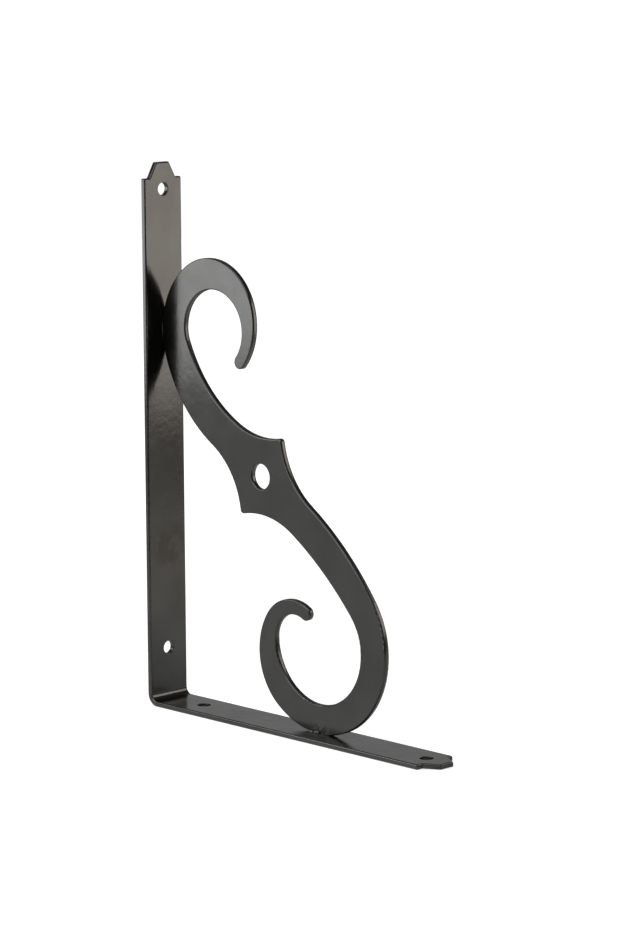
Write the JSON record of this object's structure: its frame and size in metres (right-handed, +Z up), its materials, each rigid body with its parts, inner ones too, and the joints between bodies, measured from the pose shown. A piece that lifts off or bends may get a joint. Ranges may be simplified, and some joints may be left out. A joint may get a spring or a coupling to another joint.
{
  "type": "ornamental shelf bracket",
  "caption": "Right-angled flat steel shelf bracket with an S-shaped scroll plate welded on edge inside the angle, tongued ends and screw holes in both legs.",
  "frame": {"origin": "middle of the foot's underside, the face that lies against a shelf", "axes": "+X along the foot, away from the upright; +Y across the strap; +Z up the upright, which lies against a wall"},
  "size_m": [0.127, 0.016, 0.1778],
  "materials": {
    "black_enamel": "gloss black enamel baked over the welded steel, thin on the arrises"
  },
  "bodies": {
    "root": {"angle_strap": "black_enamel", "scroll": "black_enamel", "upper_weld": "black_enamel", "lower_weld": "black_enamel"}
  },
  "joints": []
}
